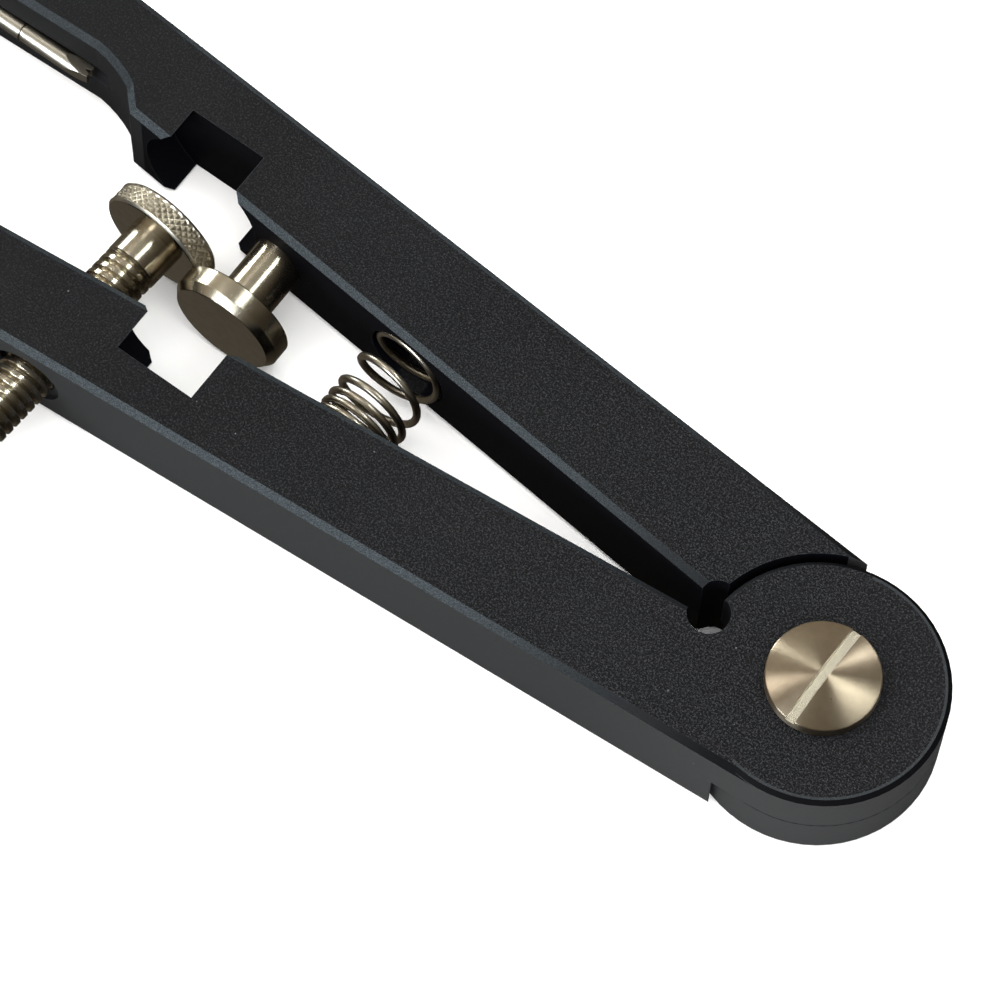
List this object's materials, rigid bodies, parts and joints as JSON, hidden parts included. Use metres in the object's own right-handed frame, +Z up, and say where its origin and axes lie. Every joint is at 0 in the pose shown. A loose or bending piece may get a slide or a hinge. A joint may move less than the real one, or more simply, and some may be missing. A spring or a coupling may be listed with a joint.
{
  "type": "spring_bar_plier",
  "caption": "Spring-bar plier for watch bracelets: two black arms on a half-lap hinge, pushed open by a coil spring, with a thumbscrew opening stop and forked steel tips",
  "frame": {"origin": "centre of the underside of the bounding box at rest", "axes": "X runs along the tool from the hinge to the fork tips, Y runs across it with the arm that carries the thumbscrew on the plus side, Z is up along the hinge axis"},
  "size_m": [0.1268, 0.0356, 0.0098],
  "materials": {
    "black_anodised": "matte black anodised, fine speckle",
    "turned_nickel": "turned, nickel plated",
    "bright_steel": "polished",
    "spring_steel": "drawn wire",
    "dark_steel": "black oxide"
  },
  "bodies": {
    "lower": {"lower_arm": "black_anodised", "hinge_screw": "turned_nickel", "hinge_nut": "turned_nickel", "hinge_washer": "bright_steel", "compression_spring": "spring_steel", "lower_fork_tip": "bright_steel", "lower_tip_set_screw": "dark_steel"},
    "upper": {"upper_arm": "black_anodised", "stop_screw": "turned_nickel", "stop_jam_screw": "dark_steel", "upper_fork_tip": "bright_steel", "upper_tip_set_screw": "dark_steel"},
    "thumb_carrier": {"thumbscrew_end_ring": "bright_steel"},
    "thumb": {"thumbscrew": "turned_nickel"}
  },
  "joints": [
    {"name": "arm_hinge", "type": "hinge", "parent": "lower", "child": "upper", "pos_m": [-0.0551, -0.00312, 0.00412], "axis": [0, 0, 1], "range_deg": [0, 4.6], "stiffness_Nm_per_rad": 1.23, "springref_deg": -4.58, "deforming": ["compression_spring"]},
    {"name": "thumb_feed", "type": "slide", "parent": "lower", "child": "thumb_carrier", "axis": [-0.0663, -0.9978, 0], "range_m": [0, 0.0007]},
    {"name": "thumb_turn", "type": "hinge", "parent": "thumb_carrier", "child": "thumb", "pos_m": [-0.0011, -0.00312, 0.00412], "axis": [-0.0663, -0.9978, 0], "range_deg": [0, 360]}
  ],
  "couplings": [
    {"joint": "thumb_turn", "follows": "thumb_feed", "rad_per_m": 8976}
  ]
}
